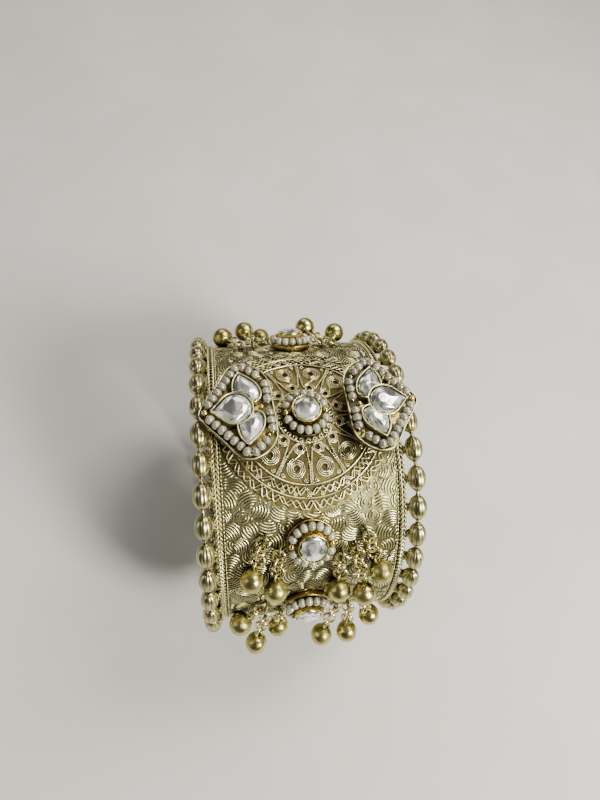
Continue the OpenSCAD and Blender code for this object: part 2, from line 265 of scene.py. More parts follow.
def revolve(profile, segments, ripple=None):
    """Turns (radius, height) points round Z. A radius of 0 at an end makes a pole."""
    turn = 2 * np.pi * np.arange(segments) / segments
    profile = np.asarray(profile, float)
    poles = [k for k in (0, len(profile) - 1) if profile[k, 0] == 0]
    rows = profile[[k for k in range(len(profile)) if k not in poles]]
    radius = np.repeat(rows[:, :1], segments, 1)
    if ripple is not None:
        radius = radius * ripple(turn, rows)
    points = np.stack([radius * np.cos(turn), radius * np.sin(turn),
                       np.repeat(rows[:, 1:], segments, 1)], -1).reshape(-1, 3)
    faces = [grid(len(rows), segments)]
    for k in poles:
        ring = np.arange(segments) + (0 if k == 0 else (len(rows) - 1) * segments)
        faces.append(fan(len(points), ring))
        points = np.vstack([points, [0, 0, profile[k, 1]]])
    return points, faces


def ball(radius, segments=14, rows=9, squash=1.0, taper=1.0):
    """A ball, flattened by squash, with blunter ends for a smaller taper."""
    a = np.linspace(-np.pi / 2, np.pi / 2, rows)
    profile = np.stack([radius * np.cos(a) ** taper, squash * radius * np.sin(a)], -1)
    profile[[0, -1], 0] = 0
    return revolve(profile, segments)


def rod(radius, low, high, segments):
    """An upright round rod."""
    return revolve([(0, low), (radius, low), (radius, high), (0, high)], segments)


def hoop(radius, wire, segments, sides):
    """A ring of round wire in the XY plane."""
    a = 2 * np.pi * np.arange(segments) / segments
    return tube(np.stack([radius * np.cos(a), radius * np.sin(a), 0 * a], -1), wire, sides=sides, closed=True)


def smooth_spans(a, b, c, d, steps):
    """Smooth spans from each b to each c, in a few steps. a and d are the points before and after."""
    f = (np.arange(steps) / steps)[None, :, None]
    a, b, c, d = (q[:, None] for q in (a, b, c, d))
    curve = 0.5 * (2 * b + (c - a) * f + (2 * a - 5 * b + 4 * c - d) * f ** 2
                   + (3 * b - a - 3 * c + d) * f ** 3)
    return curve.reshape(-1, curve.shape[2])


def smooth_loop(p, steps):
    """Closed smooth curve through points."""
    return smooth_spans(np.roll(p, 1, 0), p, np.roll(p, -1, 0), np.roll(p, -2, 0), steps)


def smooth_line(points, steps):
    """Open smooth curve through points."""
    p = np.asarray(points, float)
    p = np.vstack([2 * p[0] - p[1], p, 2 * p[-1] - p[-2]])
    return np.vstack([smooth_spans(p[:-3], p[1:-2], p[2:-1], p[3:], steps), p[-2]])


def at_height(outline, z):
    return np.column_stack([outline, np.full(len(outline), z)])


def inset(outline, d):
    """A closed anticlockwise outline moved inwards by d."""
    along = unit(np.roll(outline, -1, 0) - np.roll(outline, 1, 0))
    return outline + d * np.stack([-along[:, 1], along[:, 0]], -1)


def spaced(path, shares):
    """Points at shares of a flat path's length, and that length."""
    length = np.concatenate([[0], np.cumsum(np.linalg.norm(np.diff(path, axis=0), axis=1))])
    at = shares * length[-1]
    return np.stack([np.interp(at, length, path[:, k]) for k in (0, 1)], -1), length[-1]


def resample(outline, n, shift):
    """n points evenly spaced round a closed outline."""
    return spaced(np.vstack([outline, outline[:1]]), (np.arange(n) + shift) / n)[0]


def twisted(path, out, side, strand, lead, turns, sides=5, closed=True):
    """Two strands that wind round a path. out and side are unit vectors across the path."""
    n = len(path)
    forms = []
    for phase in (0, np.pi):
        a = phase + 2 * np.pi * turns * np.arange(n) / (n if closed else n - 1)
        offset = lead * (np.cos(a)[:, None] * out + np.sin(a)[:, None] * side)
        forms.append(tube(path + offset, strand, up=out, sides=sides, closed=closed))
    return forms


# Materials

class Nodes:
    """Short names for making and linking shader nodes."""

    def __init__(self, name):
        self.material = bpy.data.materials.new(name)
        self.material.use_nodes = True
        self.tree = self.material.node_tree
        self.tree.nodes.clear()
        self.shader = self.new("ShaderNodeBsdfPrincipled")
        self.new("ShaderNodeOutputMaterial", Surface=self.shader.outputs["BSDF"])
        self.place = self.new("ShaderNodeTexCoord").outputs["Object"]

    def put(self, socket, value):
        """Links another node's output to a socket, or sets a plain value on it."""
        if isinstance(value, bpy.types.NodeSocket):
            self.tree.links.new(value, socket)
        else:
            socket.default_value = value

    def fill(self, node, **inputs):
        for key, value in inputs.items():
            self.put(node.inputs[key.replace("_", " ")], value)
        return node

    def new(self, kind, **inputs):
        return self.fill(self.tree.nodes.new(kind), **inputs)

    def noise(self, size, detail=3.0, rough=0.55, stretch=None):
        """Noise with features of about size millimetres."""
        place = self.place
        if stretch is not None:
            place = self.new("ShaderNodeMapping", Vector=place, Scale=stretch).outputs["Vector"]
        return self.new("ShaderNodeTexNoise", Vector=place, Scale=1.0 / (size * MM), Detail=detail,
                        Roughness=rough).outputs["Fac"]

    def ramp(self, source, low, high, to_low=0.0, to_high=1.0):
        node = self.new("ShaderNodeMapRange", Value=source, From_Min=low, From_Max=high,
                        To_Min=to_low, To_Max=to_high)
        node.interpolation_type = "SMOOTHSTEP"
        return node.outputs["Result"]

    def blend(self, factor, a, b):
        """Blends two colours. Each may be a colour or a socket."""
        node = self.new("ShaderNodeMix")
        node.data_type = "RGBA"
        for key, value in ((0, factor), (6, a), (7, b)):
            self.put(node.inputs[key], (*value, 1.0) if isinstance(value, tuple) else value)
        return node.outputs[2]

    def math(self, operation, *values, kind="ShaderNodeMath", out=0):
        node = self.new(kind)
        node.operation = operation
        for socket, value in zip(node.inputs, values):
            self.put(socket, value)
        return node.outputs[out]

    def vector(self, operation, *values, out="Vector"):
        return self.math(operation, *values, kind="ShaderNodeVectorMath", out=out)

    def shade(self, distance):
        """1 in open places, towards 0 in crevices as deep as distance millimetres."""
        node = self.new("ShaderNodeAmbientOcclusion", Distance=distance * MM)
        node.samples = 6
        return node.outputs["AO"]

    def tone(self):
        """The tone that each form of a piece was given or drew."""
        node = self.new("ShaderNodeAttribute")
        node.attribute_name = "tone"
        return node.outputs["Fac"]

    def bump(self, height, depth, strength=1.0):
        node = self.new("ShaderNodeBump", Height=height, Strength=strength, Distance=depth * MM)
        self.fill(self.shader, Normal=node.outputs["Normal"])


def metal(name, base, dark, stain, rough=(0.2, 0.42), crevice=1.2, grain=0.35, depth=0.02, relief=False):
    """Antique metal with uneven lacquer, dark in its crevices: partly tarnish and partly painted shade."""
    n = Nodes(name)
    cloud = n.noise(3.0, detail=4.0)
    # Crevice darkening from the occlusion: partly tarnish in the hollows, partly painted shade.
    clear_of_tarnish_and_shade = n.ramp(n.shade(crevice), 0.3, 0.85)
    if relief:
        # With relief, a low tone also draws darker: painted shade on ridge flanks and in flute grooves.
        clear_of_tarnish_and_shade = n.math("MULTIPLY", clear_of_tarnish_and_shade, n.ramp(n.tone(), 0.35, 0.95))
    lacquer = n.blend(n.ramp(cloud, 0.42, 0.72), base, stain)
    n.fill(n.shader, Base_Color=n.blend(clear_of_tarnish_and_shade, dark, lacquer), Metallic=1.0,
           Roughness=n.ramp(cloud, 0.3, 0.7, *rough))
    n.bump(n.noise(grain, rough=0.6), depth)
    return n.material


def band_metal():
    """The band's ground: darker brass with hammered grain, stained amber round the round settings."""
    n = Nodes("embossed_brass_ground")
    cloud = n.noise(4.0, detail=4.0)
    lacquer = n.blend(n.ramp(cloud, 0.4, 0.7), (0.26, 0.243, 0.113), (0.17, 0.153, 0.064))
    near = None
    for spot in ROUND_PLACES.values():
        centre = tuple(map(float, at_round((0, 0, 0), spot) * MM))
        away = n.vector("DISTANCE", n.place, centre, out="Value")
        near = away if near is None else n.math("MINIMUM", near, away)
    ragged = n.math("ADD", near, n.math("MULTIPLY", cloud, 2.5 * MM))
    from_axis = n.vector("LENGTH", n.vector("MULTIPLY", n.place, (0.0, 1.0, 1.0)), out="Value")
    outside = n.ramp(from_axis, (BAND_R - 0.5) * MM, (BAND_R - 0.3) * MM)
    browned = n.blend(n.ramp(n.noise(10.0, detail=2.0), 0.48, 0.68, 0.0, 0.4), lacquer, (0.19, 0.135, 0.048))
    amber_place = n.math("MULTIPLY", outside, n.ramp(ragged, 5.8 * MM, 8.5 * MM, 0.6, 0.0))
    stained = n.blend(amber_place, browned, (0.30, 0.19, 0.05))
    # Darker beside the ridges and mounts, from the occlusion: painted shade, partly tarnish.
    colour = n.blend(n.ramp(n.shade(0.8), 0.3, 0.9), (0.06, 0.045, 0.015), stained)
    n.fill(n.shader, Base_Color=colour, Roughness=n.ramp(cloud, 0.3, 0.7, 0.33, 0.46), Metallic=1.0)
    n.bump(n.noise(0.55), 0.07)
    return n.material


def pearl_finish(name, dull, bright, cloudy):
    """Glassy seed pearls, each of its own tone."""
    n = Nodes(name)
    tone = n.tone()
    colour = n.blend(tone, dull, bright)
    colour = n.blend(n.ramp(n.noise(0.7), 0.4, 0.7, 0.0, 0.6), colour, cloudy)
    # Darker where the pearls touch each other and the metal: painted shade.
    colour = n.blend(n.ramp(n.shade(0.9), 0.3, 0.9), (0.10, 0.078, 0.045), colour)
    n.fill(n.shader, Base_Color=colour, Roughness=n.ramp(tone, 0.0, 1.0, 0.22, 0.32), Specular_IOR_Level=1.0,
           Coat_Weight=1.0, Coat_Roughness=0.13, Coat_IOR=2.1,
           Subsurface_Weight=0.08, Subsurface_Radius=(0.6, 0.5, 0.45), Subsurface_Scale=0.6 * MM)
    n.bump(n.noise(0.5, detail=2.0), 0.03)
    return n.material


def stone_finish():
    """Clear stone over silver foil, with painted reflections: light and dark streaks along the foil's
    creases, and each facet lighter or darker by the way it faces.
    """
    n = Nodes("foiled_clear_stone")
    creases = n.noise(2.2, detail=2.0, rough=0.4, stretch=(1.0, 0.55, 1.0))
    # Crease streaks: partly the foil's real creases, partly painted reflection.
    light = n.ramp(creases, 0.40, 0.60)
    # Each facet lighter or darker by its facing: painted reflection.
    facing = n.new("ShaderNodeNewGeometry").outputs["True Normal"]
    facet = n.new("ShaderNodeTexNoise", Vector=facing, Scale=2.6, Detail=0.0)
    turned = n.ramp(facet.outputs["Fac"], 0.42, 0.60)
    light = n.math("ADD", n.math("MULTIPLY", light, 0.5), n.math("MULTIPLY", turned, 0.5))
    foil = n.blend(light, (0.36, 0.37, 0.335), (0.97, 0.98, 0.94))
    colour = n.blend(n.ramp(n.noise(0.7, detail=4.0), 0.5, 0.72, 0.0, 0.45), foil, (0.24, 0.245, 0.21))
    n.fill(n.shader, Base_Color=colour, Roughness=n.ramp(creases, 0.3, 0.7, 0.06, 0.2),
           Metallic=n.ramp(light, 0.0, 1.0, 0.8, 0.4), Coat_Weight=1.0, Coat_Roughness=0.02)
    n.bump(creases, 0.35, 0.6)
    return n.material


def channel_finish():
    """The tray of a lotus: dark, partly its own dark finish and partly painted shade under the petals and
    pearls, with random patches of gold.
    """
    n = Nodes("dark_channel")
    gold_patches = n.ramp(n.noise(2.6, detail=4.0), 0.44, 0.6)
    # Dark tray colour: partly painted shade.
    colour = n.blend(gold_patches, (0.05, 0.046, 0.02), (0.28, 0.225, 0.07))
    n.fill(n.shader, Base_Color=colour, Roughness=n.ramp(gold_patches, 0.0, 1.0, 0.55, 0.3),
           Metallic=n.ramp(gold_patches, 0.0, 1.0, 0.3, 1.0))
    n.bump(n.noise(0.5), 0.06)
    return n.material


# CREAM, on the ridges, makes them far brighter than the band's ground: partly rubbed crests, partly painted
# highlight.
CREAM = (0.94, 0.905, 0.525)
PALE = (0.81, 0.765, 0.395)
# OLIVE is the dark colour in crevices: partly tarnish, partly painted shade.
OLIVE = (0.06, 0.05, 0.017)
ridge_brass = metal("rubbed_and_highlit_brass", CREAM, (0.08, 0.066, 0.023), PALE, rough=(0.23, 0.36),
                    crevice=0.6, relief=True)
rope_brass = metal("edge_wire_brass", (0.92, 0.86, 0.49), OLIVE, (0.80, 0.72, 0.37), rough=(0.26, 0.38),
                   crevice=0.3, depth=0.004)
bead_brass = metal("melon_bead_brass", (0.56, 0.505, 0.25), OLIVE, (0.43, 0.375, 0.17), rough=(0.25, 0.37),
                   grain=0.8, depth=0.01, relief=True)
wire_brass = metal("filigree_brass", (0.92, 0.855, 0.48), OLIVE, (0.76, 0.675, 0.33),
                   crevice=0.45, depth=0.006)
# Dark ground between the filigree wires, far darker than the wires: partly its own darker brass, partly
# painted shade.
ground_brass = metal("medallion_ground", (0.16, 0.13, 0.05), (0.025, 0.02, 0.007), (0.125, 0.084, 0.03),
                     rough=(0.32, 0.5), crevice=0.8, grain=0.6, depth=0.08)
# Dark finish for the sheet's outer zone and the floors under its holes: partly tarnish, partly painted shade.
patina_and_shade = metal("patina_and_shade", (0.11, 0.082, 0.03), (0.02, 0.015, 0.005), (0.16, 0.12, 0.042), rough=(0.4, 0.6))
bright_gold = metal("bright_gold", (0.92, 0.79, 0.30), (0.16, 0.11, 0.02), (0.80, 0.66, 0.22),
                    rough=(0.12, 0.24), crevice=0.5, depth=0.006)
amber = metal("amber_lacquered_brass", (0.63, 0.505, 0.205), (0.21, 0.15, 0.045), (0.49, 0.365, 0.125),
              rough=(0.24, 0.38), crevice=1.0)
collet_gold = metal("collet_gold", (0.88, 0.69, 0.23), (0.28, 0.185, 0.045), (0.72, 0.52, 0.145),
                    rough=(0.2, 0.34), crevice=0.4, depth=0.006)
bell_gold = metal("bell_gold", (0.53, 0.462, 0.17), (0.04, 0.033, 0.010), (0.32, 0.272, 0.088),
                  rough=(0.23, 0.39), crevice=2.6, grain=1.5, depth=0.16)
link_gold = metal("jump_ring_gold", (0.84, 0.75, 0.39), (0.09, 0.072, 0.024), (0.68, 0.58, 0.26),
                  rough=(0.16, 0.3), crevice=0.3, depth=0.006)
inner_brass = band_metal()
pearl = pearl_finish("seed_pearl", (0.28, 0.268, 0.182), (0.51, 0.495, 0.36), (0.235, 0.215, 0.145))
grey_pearl = pearl_finish("grey_seed_pearl", (0.18, 0.163, 0.112), (0.37, 0.34, 0.24), (0.14, 0.123, 0.084))
stone = stone_finish()
channel = channel_finish()


# Embossed band

STAMP_STEP = 3.4
ROW_STEP = 0.87 * STAMP_STEP
STAMP_REACH = 2.9
RIDGE_STEP = 0.54
RIDGE_W = 0.48
RIDGE_H = 0.24
# Places along a ridge, as shares of its length, and its width and height there
RIDGE_STOPS = np.array([0.0, 0.08, 0.28, 0.5, 0.72, 0.92, 1.0])
RIDGE_TAPER = np.array([0.12, 0.6, 0.93, 1.0, 0.93, 0.6, 0.12])
# The shortest ridge
SHORTEST = 0.7
EDGE_X = 16.6
GIRTH = 2 * np.pi * BAND_R
# Section across a ridge: share of its width, share of its height
RIDGE_SECTION = np.array([(-0.5, -0.15), (-0.26, 0.65), (0.0, 1.0), (0.26, 0.65), (0.5, -0.15)])
# Points along a line of a stamp, or for each millimetre of an arc's radius
LINE_STEPS = 44
STEPS_A_MM = 26
SHELL_SHIFT = 2.3
ROSETTE_RADII = (0.6, 1.15, 1.7, 2.25)
LEAF_BEND = 2.4


def ridges(paths):
    """Half-round ridges with pointed ends along lines of the rolled-out band."""
    count, n = paths.shape[:2]
    ahead = np.gradient(paths, axis=1)
    side = unit(np.stack([-ahead[..., 1], ahead[..., 0]], -1))
    rows = []
    for across, height in RIDGE_SECTION:
        flat = paths + across * RIDGE_W * RIDGE_TAPER[:, None] * side
        level = RIDGE_H * height * (RIDGE_TAPER if height > 0 else 1)
        rows.append(on_roll(flat[..., 0], flat[..., 1], level))
    points = np.stack(rows, 2)
    width = len(rows)
    middle = points[:, [0, -1]].mean(2)
    points = np.concatenate([points.reshape(count, -1, 3), middle], 1)
    first = n * width
    last = (n - 1) * width
    faces = [grid(n, width), fan(first, np.arange(width)), fan(first + 1, last + np.arange(width))]
    shift = (np.arange(count) * points.shape[1])[:, None, None]
    # Tone low on the ridges' flanks and towards their tapered ends, drawn darker by the relief finish:
    # painted shade.
    tone = np.concatenate([(RIDGE_SECTION[None, :, 1] * RIDGE_TAPER[:, None] ** 0.3).reshape(-1), [0, 0]])
    faces = [(part[None] + shift).reshape(-1, part.shape[1]) for part in faces]
    return points.reshape(-1, 3), faces, np.tile(np.clip(tone, 0, 1), count)


def free_of_mounts(x, u):
    """True where no medallion or round setting covers the band."""
    t = np.degrees(u / BAND_R)
    turned = np.radians(t - MEDALLION_T)
    y, z = -BAND_R * np.sin(turned), np.cos(turned)
    clear = (np.hypot(x, y) > MEDALLION_R + 0.05) | (z < 0)
    for place, centre in ROUND_PLACES.values():
        along = np.radians((t - centre + 180) % 360 - 180) * BAND_R
        clear &= np.hypot(x - place, along) > DISH_FOOT_R + 0.2
    return clear


def stamp_places():
    """Middles of the stamps on the rolled-out band, in staggered rows."""
    rows = 2 * int(GIRTH / ROW_STEP / 2)
    columns = int(2 * EDGE_X / STAMP_STEP) + 1
    places = [((j + 0.5 * (i % 2) - columns / 2) * STAMP_STEP + rng.uniform(-0.45, 0.45),
               (i + rng.uniform(-0.18, 0.18)) * GIRTH / rows)
              for i in range(rows) for j in range(columns + 1)]
    return np.array(places)


def stack_lines(step):
    """Equal arcs, one above the other."""
    bend = rng.uniform(1.5, 2.8)
    a = np.linspace(-STAMP_REACH / bend, STAMP_REACH / bend, LINE_STEPS)
    return [np.stack([bend * (np.cos(a) - 1) + k * step, bend * np.sin(a)], -1) for k in range(-5, 6)]


def shell_lines(step):
    """Arcs round a point at the stamp's side."""
    lines = []
    for radius in np.arange(0.9, 2.1 * STAMP_REACH, step):
        a = np.linspace(-1.4, 1.4, int(STEPS_A_MM * radius) + 8)
        lines.append(np.stack([radius * np.cos(a) - SHELL_SHIFT, radius * np.sin(a)], -1))
    return lines


def rosette_lines(step):
    """Pairs of arcs round the stamp's middle, which keep their own spacing."""
    lines = []
    for radius in ROSETTE_RADII:
        for middle in (0.0, np.pi):
            a = middle + np.linspace(-1.25, 1.25, int(STEPS_A_MM * radius))
            lines.append(np.stack([radius * np.cos(a), radius * np.sin(a)], -1))
    return lines


def leaf_lines(step):
    """Arcs that meet in points at both ends, like the edges of a leaf."""
    lines = []
    for k in range(4):
        radius = LEAF_BEND + (k + 0.5) * step
        a = np.linspace(-1, 1, LINE_STEPS) * math.acos(LEAF_BEND / radius)
        for side in (-1, 1):
            lines.append(np.stack([radius * np.sin(a), side * (radius * np.cos(a) - LEAF_BEND)], -1))
    return lines


# Kinds of stamp, and the share of each
STAMP_KINDS = [stack_lines, shell_lines, rosette_lines, leaf_lines]
STAMP_SHARES = [0.45, 0.3, 0.15, 0.1]


def in_own_cell(lines, place, offsets):
    """The stretches of a stamp's lines that lie nearer to it than to its neighbours, evenly divided."""
    size = np.linalg.norm(offsets, axis=1)
    for line in lines:
        inside = np.all(line @ (offsets / size[:, None]).T < size / 2, axis=1)
        x, u = (place + line).T
        inside &= (np.abs(x) < EDGE_X) & free_of_mounts(x, u)
        change = np.flatnonzero(np.diff(np.concatenate([[0], inside, [0]])))
        for first, end in zip(change[::2], change[1::2]):
            points, length = spaced(line[first:end], RIDGE_STOPS)
            if length > SHORTEST:
                yield place + points


def embossing():
    """Stamped groups of short ridges that lean every way."""
    places = stamp_places()
    paths = []
    for place in places:
        offsets = places - place
        offsets[:, 1] = (offsets[:, 1] + GIRTH / 2) % GIRTH - GIRTH / 2
        distance = np.linalg.norm(offsets, axis=1)
        near = offsets[(distance > 0.01) & (distance < 2.4 * STAMP_STEP)]
        kind = rng.choice(len(STAMP_KINDS), p=STAMP_SHARES)
        turn = turn_by(rng.uniform(0, 2 * np.pi))
        lines = STAMP_KINDS[kind](RIDGE_STEP * rng.uniform(0.92, 1.08))
        paths += list(in_own_cell([line @ turn for line in lines], place, near))
    paths = np.array(paths)
    turn = (paths[:, 0, 1] / GIRTH) % 1.0
    for name, low in (("embossing_front", 0.0), ("embossing_back", 0.5)):
        points, faces, tone = ridges(paths[(turn >= low) & (turn < low + 0.5)])
        shape = Shape()
        shape.add((points, faces), tone=tone)
        shape.make(name, [ridge_brass])


# Ropes of two twisted wires along each edge: distance from the middle, and turns
EDGE_ROPES = [(17.95, 104), (17.3, -104)]
ROPE_STRAND = 0.165
ROPE_LEAD = 0.2
ROPE_H = 0.3
POINTS_A_TURN = 11
# Grains of the beaded wire: distance from the middle, radius, height, count
BEADED_X, GRAIN_R, GRAIN_H, GRAINS = 16.68, 0.15, 0.1, 264


def edge_wires():
    """A braid of two opposed ropes along each edge of the band, and a beaded wire inside it."""
    grain = moved(ball(GRAIN_R, 8, 7, 2.1), lambda p: p[:, [1, 2, 0]])
    for side, name in ((-1, "left"), (1, "right")):
        shape = Shape()
        for x, turns in EDGE_ROPES:
            n = abs(turns) * POINTS_A_TURN
            a = 2 * np.pi * np.arange(n) / n
            out = np.stack([0 * a, -np.sin(a), np.cos(a)], -1)
            path = (BAND_R + ROPE_H) * out + [side * x, 0, 0]
            for form in twisted(path, out, [1.0, 0, 0], ROPE_STRAND, ROPE_LEAD, side * turns):
                shape.add(form)
        for k in range(GRAINS):
            t = 360 * k / GRAINS
            shape.add(moved(grain, lambda p: on_band(p, t, BAND_R + GRAIN_H) + [side * BEADED_X, 0, 0]))
        shape.make(f"edge_wires_{name}", [rope_brass])


# Rims of melon beads

FLUTES = 10
FLUTE_DEPTH = 0.09
BEAD_HALF = BEAD_MID / 2 + BEAD_R + 0.07
# Most that a bead turns about its own length, in radians
BEAD_TURN = 0.25
COLLAR_R = 0.42
COLLAR_WIRE = 0.13
RIM_GRAIN_R = 0.32
# Small grains between each bead and the edge rope: towards the band, outwards, along the girth
GRAINS_AT_BEAD = [*((-1.86, -0.72, z) for z in (-0.6, 0.0, 0.6)),
                  *((-1.68, -0.35, z) for z in (-0.3, 0.3)), (-1.56, 0.02, 0.0)]


def melon_bead():
    """A long bead whose flutes run from pole to pole."""
    a = np.linspace(-np.pi / 2, np.pi / 2, 15)
    profile = np.stack([BEAD_R * np.cos(a) ** 0.9, BEAD_HALF * np.sin(a)], -1)
    profile[[0, -1], 0] = 0

    def ripple(turn, rows):
        groove = 1 - np.abs(np.sin(turn * FLUTES / 2)) ** 0.45
        fade = np.clip(rows[:, :1] / BEAD_R, 0, 1) ** 0.5
        return 1 - FLUTE_DEPTH * groove[None] * fade

    points, faces = revolve(profile, FLUTES * 6, ripple)
    # Tone high on the flutes' crowns, low in the grooves and 0.6 at the poles, drawn darker by the relief
    # finish: painted shade.
    crown = 0.5 + 0.5 * np.abs(np.sin(np.arctan2(points[:, 1], points[:, 0]) * FLUTES / 2)) ** 0.5
    at_pole = np.hypot(points[:, 0], points[:, 1]) < 0.3 * BEAD_R
    return (points, faces), np.where(at_pole, 0.6, crown)


def along_girth(points, angle, side):
    """Local Z runs along the girth at a rim's place, and local X out along the band's axis."""
    x, y, z = points.T
    return on_band(np.stack([x, -z, y], -1), angle, RIM_R) + [side * RIM_X, 0, 0]


def bead_rims():
    bead, flute_tone = melon_bead()
    collar = hoop(COLLAR_R, COLLAR_WIRE, 12, 5)
    grain = ball(RIM_GRAIN_R, 8, 6)
    lug_y = BAND_R - LUG_R - RIM_R
    lug = tube([(0, lug_y, 0), (-RIM_X + BAND_W / 2 + GAP, lug_y, 0)], LUG_R, sides=10)
    step = 360 / RIM_BEADS
    for side, name in ((-1, "left"), (1, "right")):
        shape = Shape()
        mirror = np.array([side, 1, 1])
        wire = moved(hoop(RIM_R, RIM_WIRE_R, 144, 8), lambda p: p[:, [2, 0, 1]] + [side * RIM_X, 0, 0])
        shape.add(wire, tone=0.9)
        for i in range(RIM_BEADS):
            middle = (i + 0.5) * step

            # Other forms keep a tone of 0.9; the lugs under the beads get 0.7, a little darker: painted
            # shade.
            def place(form, centre=(0, 0, 0), tone=0.9):
                shape.add(moved(form, lambda p: along_girth((p + centre) * mirror, middle, side)), tone=tone)

            turn = turn_by(rng.uniform(-BEAD_TURN, BEAD_TURN), 3)
            place(moved(bead, lambda p: p @ turn), tone=flute_tone)
            for end in (-1, 1):
                place(collar, (0, 0, end * (BEAD_HALF + 0.02)))
            for centre in GRAINS_AT_BEAD:
                place(grain, centre)
            place(lug, tone=0.7)
            place(ball(LUG_R, 10, 7), (0, lug_y, 0), 0.7)
        shape.make(f"melon_rim_{name}", [bead_brass], [f"bead_rim_{name}"])


# Filigree medallion

def polar(radius, degrees):
    a = np.radians(degrees)
    return radius * np.cos(a), radius * np.sin(a)


# The pierced sheet's scalloped edge, the radius past which it is dark (partly tarnish, partly painted shade),
# and the step between its points
SCALLOPS = 48
SCALLOP = 0.3
SHEET_R = MEDALLION_R - 0.35
PATINA_AND_SHADE_R = 13.1
SHEET_STEP = 0.9
# Rings of small holes, one for each spiral pair: radius, size, turn in steps
HOLE_RINGS = [(SPIRAL_OUT_R, 0.5, 0.5), (SPIRAL_IN_R, 0.45, 0.5), (8.6, 0.45, 0), (11.7, 0.5, 0)]


def mount_holes():
    """Centre and radius of the holes round the centre setting and the lotus posts."""
    posts = [(*lotus_plane(u, v, side), POST_R + GAP) for side in LOTUS_PLACES for u, v in POSTS]
    return [(0, 0, DISH_FOOT_R + 0.6)] + posts


def small_holes():
    """Centre and radius of the holes in the drawing of the filigree."""
    return [(*polar(radius, (i + turn) * 360 / SPIRAL_PAIRS), hole)
            for i in range(SPIRAL_PAIRS) for radius, hole, turn in HOLE_RINGS]


def sheet_drawing():
    """Flat points and triangles of the pierced sheet, and which triangles are dark."""
    holes = mount_holes() + small_holes()
    points = [polar(SHEET_R + SCALLOP * math.cos(math.radians(SCALLOPS * a)), a)
              for a in np.arange(0, 360, 1.5)]
    edges = [(k, (k + 1) % len(points)) for k in range(len(points))]
    for x, y, radius in holes:
        n = 48 if radius > 2 else 14
        first = len(points)
        turns = [2 * math.pi * k / n for k in range(n)]
        points += [(x + radius * math.cos(a), y + radius * math.sin(a)) for a in turns]
        edges += [(first + k, first + (k + 1) % n) for k in range(n)]
    spots = np.arange(-MEDALLION_R, MEDALLION_R, SHEET_STEP)
    hx, hy, hr = np.array(holes).T
    for x in spots:
        for y in spots:
            if math.hypot(x, y) < MEDALLION_R - 1 and np.all(np.hypot(hx - x, hy - y) > hr + 0.3):
                points.append((x, y))
    flat, _, faces = delaunay_2d_cdt([Vector(p) for p in points], edges, [], 0, 1e-5)[:3]
    flat, faces = np.array([tuple(p) for p in flat]), np.array(faces)
    x, y = flat[faces].mean(1).T
    clear = np.all(np.hypot(x[:, None] - hx, y[:, None] - hy) > hr * 0.97, axis=1)
    keep = clear & (np.hypot(x, y) < SHEET_R + SCALLOP * np.cos(SCALLOPS * np.arctan2(y, x)))
    return flat, faces[keep], np.hypot(x, y)[keep] > PATINA_AND_SHADE_R


def pierced_sheet(shape):
    """The medallion's ground: a thin sheet, dark past the outer plain ring, with a dark floor under each
    small hole; the dark parts are partly tarnish and partly painted shade.
    """
    flat, faces, dark = sheet_drawing()
    n = len(flat)
    halves = np.concatenate([faces[:, [0, 1]], faces[:, [1, 2]], faces[:, [2, 0]]])
    edges = {tuple(e) for e in halves.tolist()}
    walls = np.array([(a, b, b + n, a + n) for a, b in edges if (b, a) not in edges])
    used = np.unique(faces)
    index = np.full(2 * n, -1)
    index[np.concatenate([used, used + n])] = np.arange(2 * len(used))
    points = np.vstack([lay(*flat.T, SHEET_H), lay(*flat.T, GAP)])[index >= 0]
    top, bottom = index[faces], index[faces[:, ::-1] + n]
    shape.add((points, [top[~dark], bottom, index[walls]]), 1, smooth=False)
    # The sheet past the outer plain ring is dark: partly tarnish, partly painted shade for its shadowed gaps.
    shape.faces += top[dark].tolist()
    shape.finish += [2] * int(dark.sum())
    shape.smooth += [False] * int(dark.sum())
    # Dark floors under the holes: painted shade in the piercings, partly tarnish.
    a = 2 * np.pi * np.arange(12) / 12
    for x, y, radius in small_holes():
        rim = lay(x + 0.98 * radius * np.cos(a), y + 0.98 * radius * np.sin(a), GAP + 0.02)
        shape.add((np.vstack([rim, lay(x, y, GAP + 0.03)]), [fan(12, np.arange(12))]), 2)


def flat_wire(shape, x, y, wire, closed=False, lift=0.0, sides=6):
    """A round wire laid on the medallion's sheet."""
    shape.add(tube(lay(x, y, SHEET_H + 0.8 * wire + lift), wire, sides=sides, closed=closed))


def flat_twist(shape, x, y, wire, turns, closed=False):
    """Two strands of wire, twisted together and laid on the sheet."""
    path = lay(x, y, SHEET_H + 1.3 * wire)
    out = np.broadcast_to([0, 0, 1], path.shape)
    side = unit(np.cross(out, directions(path, closed)))
    for form in twisted(path, out, side, wire, 0.85 * wire, turns, closed=closed, sides=4):
        shape.add(form)


def spiral(shape, radius, degrees, inner, outer, turns, wire, spin, hand):
    """A coil of wire whose middle stands at radius and degrees."""
    cx, cy = polar(radius, degrees)
    n = int(turns * 22)
    f = np.linspace(0, 1, n)
    reach = inner + (outer - inner) * f
    a = math.radians(degrees + spin) + hand * 2 * np.pi * turns * (f - 1)
    flat_wire(shape, cx + reach * np.cos(a), cy + reach * np.sin(a), wire, sides=5)


CENTRE_ROPE_R = 5.62
CENTRE_LOOPS = 24
CENTRE_LOOP_R = 5.02
LARGE_COIL = 1.86
SMALL_COIL = 1.2
COIL_WIRE = 0.125
CURL_R = 12.3
BAY_R = 14.72
# Plain rings: radius, wire, lift
PLAIN_RINGS = [(13.1, 0.15, 0.1), (15.3, 0.13, 0.06)]
